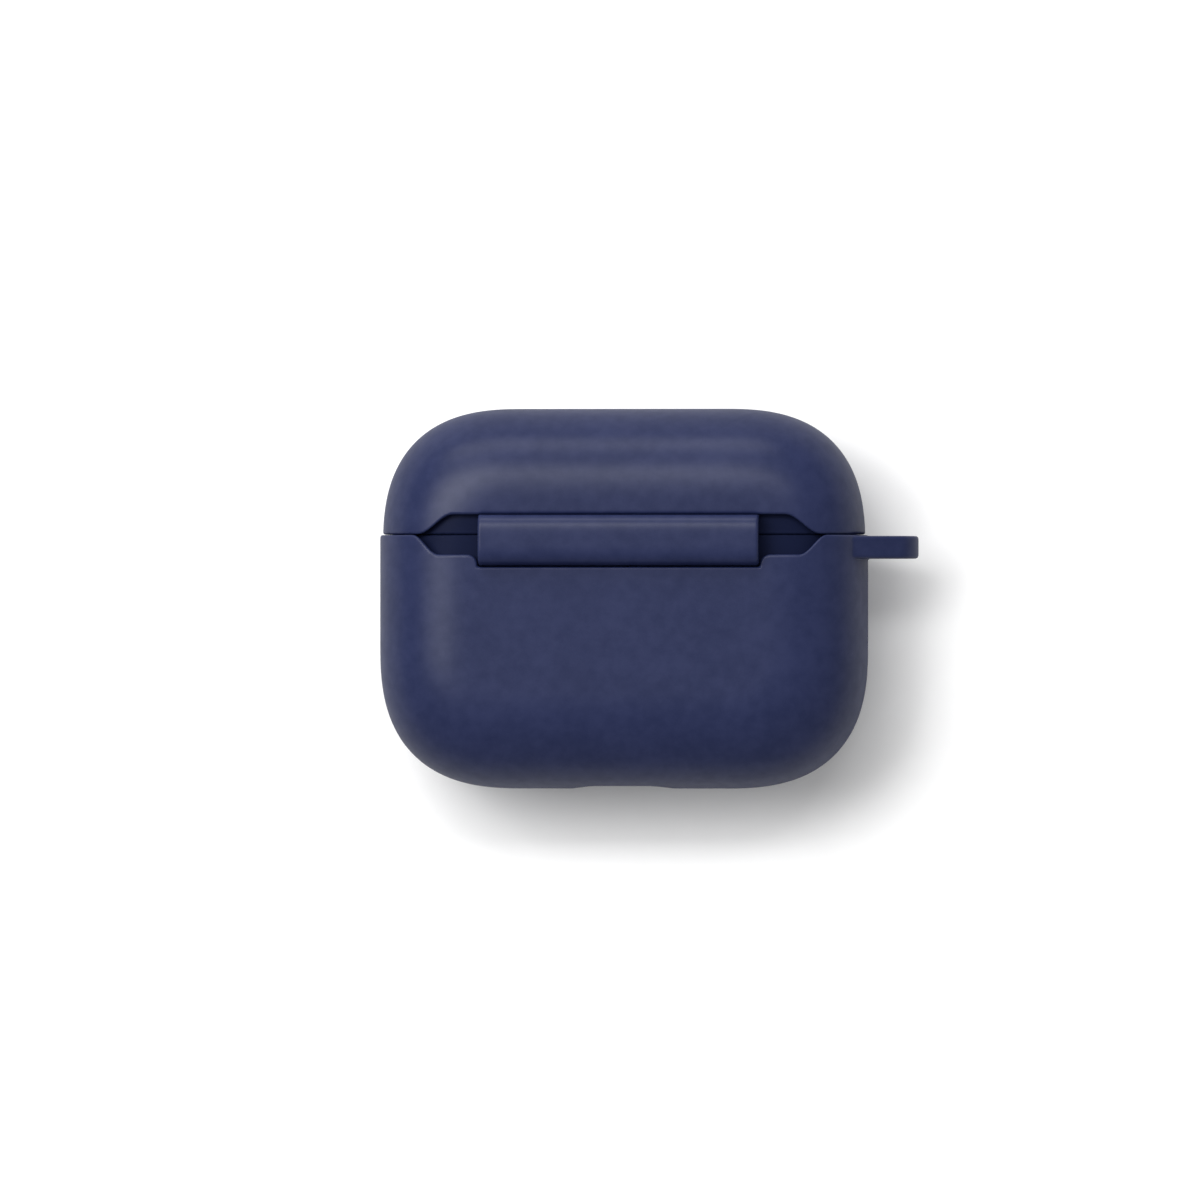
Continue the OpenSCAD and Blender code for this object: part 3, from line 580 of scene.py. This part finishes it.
# %% [markdown]
# ## The rims of the sleeve
# The two halves of the sleeve meet in a straight line, except behind the hinge. There each half is
# cut back in a shallow notch with S-shaped ends, so that the lid can swing without the silicone
# binding. The notch is a line in the plane of the back, and everything on one side of it is cut away.

# %% Rim lines
NOTCH_DEPTH = 2.6
LID_NOTCH = (23.9, 4.8)
BASE_NOTCH = (25.2, 3.6)
RECESS_CORNER = 1.3
RIM_GAP = 0.06
FAR = 60.0
strap_half = strap_high[0]
recess_x = strap_half + 0.15
recess_y = strap_low[1] - 0.15


def notch_end(mid, run, way, count=20):
    """The S-shaped end of a notch, from full depth out to the straight rim."""
    s = np.linspace(0, 1, count)
    depth = RIM_GAP / 2 + (NOTCH_DEPTH - RIM_GAP / 2) * (1 + np.cos(np.pi * s)) / 2
    return [(mid + run * (u - 0.5), SEAM_Y + way * d) for u, d in zip(s, depth)]


def mirrored(half):
    """A line from left to right, from its right half."""
    return [(-x, y) for x, y in reversed(half)] + half


def base_rim_line():
    turn = np.radians(np.linspace(180, 90, 8))
    floor = SEAM_Y - NOTCH_DEPTH - RECESS_CORNER
    corner = [
        (recess_x + RECESS_CORNER * (1 + math.cos(a)), floor + RECESS_CORNER * math.sin(a)) for a in turn
    ]
    end = notch_end(*BASE_NOTCH, -1)
    return mirrored([(recess_x, recess_y)] + corner + end + [(FAR, end[-1][1])])


def lid_rim_line():
    end = notch_end(*LID_NOTCH, 1)
    return mirrored(end + [(FAR, end[-1][1])])


BASE_RIM = base_rim_line()
LID_RIM = lid_rim_line()
print("rim lines of", len(BASE_RIM), "and", len(LID_RIM), "points")

# %% [markdown]
# ## Base sleeve's shape
# One moulding: the pocket that grips the base, a lug for a wrist cord on its right side, a window
# over the charging port and a small hole over the status light. The lug grows out of the wall with a
# small fillet, and every opening has a rounded lip, as cast silicone has.

# %% Base sleeve's field
SNUG = 0.05
RIM_R = 0.28
LUG_T = 3.0
LUG_R = 4.4
LUG_RIM = 2.0
LUG_HOLE_R = 2.2
LUG_ROOT = 7.5
LUG_INSET = 2.4
LUG_EDGE_R = 0.45
LUG_HOLE_EDGE_R = 0.35
LUG_FILLET_R = 0.12
INNER_RIM_R = 0.2
WINDOW = (6.2, 3.25)
WINDOW_DEPTH = 3
WINDOW_LIP_R = 0.55
LIGHT_WINDOW_R = 1.6
LIGHT_LIP_R = 0.35
lug_mid_x = base_high[0] - LUG_R
lug_hole_x = base_high[0] - LUG_RIM - LUG_HOLE_R
lug_root_x = HALF_W + BASE_OFF - LUG_INSET
light_low, light_high = low_high("light_pipe")
light_x, light_y = ((light_low + light_high) / 2)[:2]


def lug_outline(x, z):
    """A tapering tongue with a round end, seen along the Y axis."""
    run = lug_mid_x - lug_root_x
    lean = math.atan2(LUG_ROOT, -run) - math.acos(LUG_R / math.hypot(run, LUG_ROOT))
    u, v = x - lug_mid_x, np.abs(z)
    flank = u * math.cos(lean) + v * math.sin(lean) - LUG_R
    outline = np.where(np.arctan2(v, u) < lean, rod(u, v, LUG_R), flank)
    return np.maximum(outline, HALF_W - LUG_INSET - x)


def base_sleeve_field(p):
    x, y, z = p.T
    body = pebble(p, BASE_OFF)
    tongue = both(lug_outline(x, z - MID_Z), slab(y, BASE_RIM_Y - LUG_T, BASE_RIM_Y), LUG_EDGE_R)
    tongue = without(tongue, rod(x - lug_hole_x, z - MID_Z, LUG_HOLE_R), LUG_HOLE_EDGE_R)
    shape = either(body, tongue, LUG_FILLET_R)
    behind = z > MID_Z
    straight = y - SEAM_Y + RIM_GAP / 2
    above = np.where(behind, side_of_line(x, y, BASE_RIM), straight)
    shape = both(shape, above, RIM_R)
    shape = both(shape, -pebble(p, SNUG), INNER_RIM_R)
    window = np.maximum(rounded_rect(x, z - MID_Z, *WINDOW, WINDOW[1]), y + HALF_H - WINDOW_DEPTH)
    shape = without(shape, window, WINDOW_LIP_R)
    light = np.maximum(rod(x - light_x, y - light_y, LIGHT_WINDOW_R), z - MID_Z)
    return without(shape, light, LIGHT_LIP_R)


print("lug reaches", round(base_high[0], 2), "mm, its hole is at", round(lug_hole_x, 2), "mm")

# %% [markdown]
# ## Moulding the base sleeve
# The moulded skin takes the place of the plain part, which is hidden: it rides on the same body and
# takes the finish of the part's slot. Only the surface is new. Its squares are a quarter of a
# millimetre, about as fine as the radius of the rims.

# %% Make the base sleeve
SLOT_OF = {part["node"]: part["material_slot"] for part in frame["record"]["subparts"]}


def dress(obj, node):
    """Gives a new piece the finish of the part that it stands for."""
    obj.data.materials.clear()
    obj.data.materials.append(FINISH_OF[SLOT_OF[node]])
    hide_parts(node)


base_sleeve = mould("base_sleeve", base_sleeve_field, 0.25)
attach(base_sleeve, "base")
dress(base_sleeve, "base_sleeve")

# %% [markdown]
# ## Lid sleeve
# A thinner cap over the lid. Its rim is softer where the strap grows out of it, which leaves the
# shallow valley between the strap and the cap.

# %% Make the lid sleeve
VALLEY_R = 0.45
VALLEY_FADE = 0.8


def lid_sleeve_field(p):
    x, y, z = p.T
    below = np.where(z > MID_Z, -side_of_line(x, y, LID_RIM), SEAM_Y + RIM_GAP / 2 - y)
    near_strap = np.clip((strap_half + VALLEY_FADE / 2 - np.abs(x)) / VALLEY_FADE, 0, 1) * (z > MID_Z)
    rim_r = RIM_R + (VALLEY_R - RIM_R) * near_strap**2 * (3 - 2 * near_strap)
    shape = both(pebble(p, LID_OFF), below, rim_r)
    return both(shape, -pebble(p, SNUG), INNER_RIM_R)


lid_sleeve = mould("lid_sleeve", lid_sleeve_field, 0.25)
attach(lid_sleeve, "lid")
dress(lid_sleeve, "lid_sleeve")

# %% [markdown]
# ## Strap over the hinge
# The strap is the one part that bends when the lid opens: its lower edge stays on the base and its
# upper edge goes with the lid. Its section is a rounded square, flat on top. It is moulded like the
# others, and its place is baked into its points.

# %% Make the strap
STRAP_R = strap_high[2] - AXIS_Z
STRAP_POWER = 3.8
STRAP_HOLLOW_R = 2.2
END_R = 0.35
FOOT_R = 0.15
JOIN_R = 0.05


def strap_field(p):
    x, y, z = p.T
    across, up = np.abs(y - AXIS_Y), np.abs(z - AXIS_Z)
    section = (across**STRAP_POWER + up**STRAP_POWER) ** (1 / STRAP_POWER) - STRAP_R
    arch = np.maximum(section, -rod(across, up, STRAP_HOLLOW_R))
    arch = both(arch, np.abs(x) - strap_half, END_R)
    arch = both(arch, strap_low[2] - z, FOOT_R)
    return both(arch, y - strap_high[1], JOIN_R)


strap = mould("hinge_strap", strap_field, 0.2)
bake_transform(strap)
dress(strap, "hinge_strap")

# %% [markdown]
# ## Hard shells
# The two shells of the case show in the notches, inside the port window and whenever the lid is open.
# Their rims nearly touch, and a small radius on each leaves a fine groove along the seam.

# %% Make the shells
SHELL_WALL = 1.3
CHANNEL_R = 2.3
CHANNEL_HALF = 17.2
CHANNEL_EDGE_R = 0.12
SHELL_RIM_R = 0.2
SHELL_EDGE_R = 0.1
SHELL_GAP = 0.04
PORT_CLEARANCE = 0.1
PORT_LIP_R = 0.2
port_low, port_high = low_high("port_shell")
port_half = (port_high - port_low) / 2 + PORT_CLEARANCE


def shell_field(p, rim):
    x, y, z = p.T
    shape = both(pebble(p, 0), -pebble(p, -SHELL_WALL), SHELL_EDGE_R)
    shape = both(shape, rim, SHELL_RIM_R)
    channel = both(rod(y - AXIS_Y, z - AXIS_Z, CHANNEL_R), np.abs(x) - CHANNEL_HALF, SHELL_EDGE_R)
    return without(shape, channel, CHANNEL_EDGE_R)


def base_shell_field(p):
    shape = shell_field(p, p[:, 1] - SEAM_Y + SHELL_GAP / 2)
    port = rounded_rect(p[:, 0], p[:, 2] - MID_Z, port_half[0], port_half[2], port_half[2])
    port = np.maximum(port, p[:, 1] + HALF_H - WINDOW_DEPTH)
    return without(shape, port, PORT_LIP_R)


def lid_shell_field(p):
    return shell_field(p, SEAM_Y + SHELL_GAP / 2 - p[:, 1])


base_shell = mould("base_shell", base_shell_field, 0.26)
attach(base_shell, "base")
dress(base_shell, "base_shell")
lid_shell = mould("lid_shell", lid_shell_field, 0.26)
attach(lid_shell, "lid")
dress(lid_shell, "lid_shell")

# %% [markdown]
# ## Pockets for the earbuds
# With the lid open, the deck with its two pockets and the hollowed liner in the lid are what shows.
# Both follow the same pocket outline, so it is one function. Each pocket has a round well below it
# for an earbud's stem.

# %% Pocket outlines
POCKET_X = 15.8
POCKET = (9.5, 7.25, 6.5)
WELL_X = 16.8
WELL_R = 4.0
POCKET_WALL = 0.9
DECK_T = 1.2
POCKET_H = 6.45
WELL_H = 19.2
LID_POCKET_H = 11.0
CONTACT_X = 1.7
BUTTON_HOLE_R = 2.5
INSIDE = -SHELL_WALL - 0.1
deck_y = cradle_high[1]
well_z = (button_low[2] + button_high[2]) / 2


def pocket(p, side, grow=0.0):
    half_w, half_d, r = [v + grow for v in POCKET]
    return rounded_rect(p[:, 0] - side * POCKET_X, p[:, 2] - well_z, half_w, half_d, r)


print("pockets stand", 2 * POCKET_X, "mm apart, their wells", 2 * WELL_X, "mm")

# %% [markdown]
# ## Cradle
# The cradle is one moulding: a deck, two cups and two tubes. Its mouths and floors have generous
# radii, so that the earbuds slide in. Booleans could cut the same pockets, but each fillet would be
# a separate bevel, and the ring where a well meets its pocket is hard to bevel cleanly.

# %% Make the cradle
DECK_EDGE_R = 0.25
CUP_EDGE_R = 0.2
FLOOR_R = 1.6
WELL_FLOOR_R = 0.8
STEM_MOUTH_R = 0.6
MOUTH_LIP_R = 0.4
PIN_HOLE_R = 0.95
PIN_HOLE_EDGE_R = 0.05


def cradle_field(p):
    x, y, z = p.T
    shape = both(pebble(p, INSIDE), slab(y, deck_y - DECK_T, deck_y), DECK_EDGE_R)
    floor_y, well_y = deck_y - POCKET_H, deck_y - WELL_H
    for side in (-1, 1):
        depth = slab(y, floor_y - POCKET_WALL, deck_y - DECK_T / 2)
        cup = both(pocket(p, side, POCKET_WALL), depth, CUP_EDGE_R)
        tube = rod(x - side * WELL_X, z - well_z, WELL_R + POCKET_WALL)
        tube = both(tube, slab(y, well_y - POCKET_WALL, floor_y), CUP_EDGE_R)
        shape = np.minimum(np.minimum(shape, cup), tube)
    for side in (-1, 1):
        hollow = both(pocket(p, side), floor_y - y, FLOOR_R)
        well = both(rod(x - side * WELL_X, z - well_z, WELL_R), well_y - y, WELL_FLOOR_R)
        shape = without(shape, either(hollow, well, STEM_MOUTH_R), MOUTH_LIP_R)
        for end in (-1, 1):
            pin = rod(x - side * WELL_X - end * CONTACT_X, z - well_z, PIN_HOLE_R)
            shape = without(shape, np.maximum(pin, y - floor_y), PIN_HOLE_EDGE_R)
    return without(shape, rod(x, z - well_z, BUTTON_HOLE_R), CUP_EDGE_R)


cradle = mould("earbud_cradle", cradle_field, 0.26)
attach(cradle, "base")
dress(cradle, "earbud_cradle")

# %% [markdown]
# ## Liner
# The liner fills the lid above the earbuds. Each hollow is as deep as an earbud's head needs and
# follows the outside of the lid where that is closer, which leaves an even wall.

# %% Make the liner
LINER_EDGE_R = 0.3
LINER_LIP_R = 0.45
SCOOP_TOP_R = 2.0
SCOOP_SIDE_R = 1.2


def liner_field(p):
    up = p[:, 1] - liner_low[1]
    shape = both(pebble(p, INSIDE), -up, LINER_EDGE_R)
    scoop = both(pebble(p, INSIDE - POCKET_WALL), up - LID_POCKET_H, SCOOP_TOP_R)
    for side in (-1, 1):
        shape = without(shape, both(scoop, pocket(p, side), SCOOP_SIDE_R), LINER_LIP_R)
    return shape


liner = mould("lid_liner", liner_field, 0.28)
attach(liner, "lid")
dress(liner, "lid_liner")

# %% [markdown]
# ## Parts kept from the construction
# The hinge leaves, pin, screws, magnets, contacts and boards already have their true shape. They only
# need a worn corner to catch the light, which a narrow bevel gives, and their own finish.

# %% Finish the kept parts
BEVEL = {"pairing_button": 0.25, "battery": 0.3, "port_shell": 0.08}
USUAL_BEVEL = 0.06
SHARP = 40


def soften(obj, width):
    """Welds the part's faces together and rounds its sharp edges a little."""
    weld = obj.modifiers.new("weld", "WELD")
    weld.merge_threshold = WELD * MM
    bevel = obj.modifiers.new("worn edge", "BEVEL")
    bevel.width = width * MM
    bevel.segments = 2
    bevel.limit_method = "ANGLE"
    bevel.angle_limit = math.radians(SHARP)
    bevel.use_clamp_overlap = True


kept = 0
for name, part in frame["nodes"].items():
    part.data.materials.clear()
    part.data.materials.append(FINISH_OF[SLOT_OF[name]])
    if not part.hide_render:
        soften(part, BEVEL.get(name, USUAL_BEVEL))
        kept += 1
print("kept parts with their own finish:", kept)

# %% [markdown]
# ## Table
# The case lies on a plain white table. A slight drift in the white keeps the shadow from looking
# computed.

# %% Table
TABLE_HALF = 0.6


def make_table():
    mesh = bpy.data.meshes.new("table")
    bm = bmesh.new()
    bmesh.ops.create_grid(bm, x_segments=4, y_segments=4, size=TABLE_HALF)
    bm.to_mesh(mesh)
    bm.free()
    obj = bpy.data.objects.new("table", mesh)
    bpy.context.scene.collection.objects.link(obj)
    finish = Finish("white_table", Roughness=0.8)
    finish.shader.inputs["Specular IOR Level"].default_value = 0.2
    paper = finish.noise(3.0, 3.0)
    finish.feed("Base Color", finish.mix(paper, rgb(0.86, 0.86, 0.86), rgb(0.885, 0.885, 0.885)))
    obj.data.materials.append(finish.material)
    obj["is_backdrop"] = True


make_table()
print("table", 2 * TABLE_HALF, "m wide")

# %% [markdown]
# ## Lights
# Soft lights on the upper left and an even pale surrounding give the soft shadow to the lower right.
# A strip above the lid draws the narrow highlight along its shoulder and along the strap, and a low
# one behind it lifts the far edge. A picture of a studio as surroundings would light the case too,
# but four rectangles are easier to move one by one.

# %% Lights
LIGHT_DISTANCE = 0.9
SURROUNDING = 0.52
middle = Vector((0, 0, MID_Z * MM))


def soft_light(name, direction, width, height, power):
    """A rectangular light that faces the case, width across and height up the frame."""
    data = bpy.data.lights.new(name, "AREA")
    data.shape = "RECTANGLE"
    data.size = width
    data.size_y = height
    data.energy = power
    obj = bpy.data.objects.new(name, data)
    obj.location = middle + Vector(direction).normalized() * LIGHT_DISTANCE
    obj.rotation_mode = "QUATERNION"
    obj.rotation_quaternion = (middle - obj.location).to_track_quat("-Z", "Y")
    bpy.context.scene.collection.objects.link(obj)


soft_light("key, upper left", (-0.4, 0.45, 1.0), 0.45, 0.45, 2.4)
soft_light("key, left", (-0.65, 0.25, 1.0), 0.45, 0.45, 4.0)
soft_light("strip over the lid", (0, 0.5, 1.0), 0.7, 0.14, 2.6)
soft_light("low strip behind the lid", (-0.2, 1.0, 0.45), 0.8, 0.3, 3.8)

world = bpy.data.worlds.new("surrounding")
world.use_nodes = True
world.node_tree.nodes["Background"].inputs["Color"].default_value = rgb(1.0, 1.0, 1.0)
world.node_tree.nodes["Background"].inputs["Strength"].default_value = SURROUNDING
bpy.context.scene.world = world
bpy.context.scene.view_settings.view_transform = "Standard"
print("lights:", len(bpy.data.lights))

# %% [markdown]
# ## Camera
# The case is seen from almost straight above its back: the camera stands a few degrees to the right.
# A long lens from far away keeps the outline nearly free of perspective. The lens follows from the
# distance and from how wide a strip the frame should hold.

# %% Camera
SENSOR_W = 36
FRAME_W = 0.15666
DISTANCE = 1.6
LEAN = math.radians(3.5)
FRAME_MIDDLE = Vector((-0.00315, -0.00035, MID_Z * MM))

camera_data = bpy.data.cameras.new("camera")
camera_data.sensor_width = SENSOR_W
camera_data.lens = SENSOR_W * DISTANCE / FRAME_W
camera = bpy.data.objects.new("camera", camera_data)
back = Vector((math.sin(LEAN), 0, math.cos(LEAN)))
camera.location = FRAME_MIDDLE + back * DISTANCE
camera.rotation_euler = (0, LEAN, 0)
bpy.context.scene.collection.objects.link(camera)
bpy.context.scene.camera = camera
print("camera lens", round(camera_data.lens, 1), "mm")

# %% Print the size before and after dressing
visual_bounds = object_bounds()
for low_or_high, cad, seen in zip(("low", "high"), cad_bounds, visual_bounds):
    print(low_or_high, [round(v / MM, 2) for v in cad], [round(v / MM, 2) for v in seen])
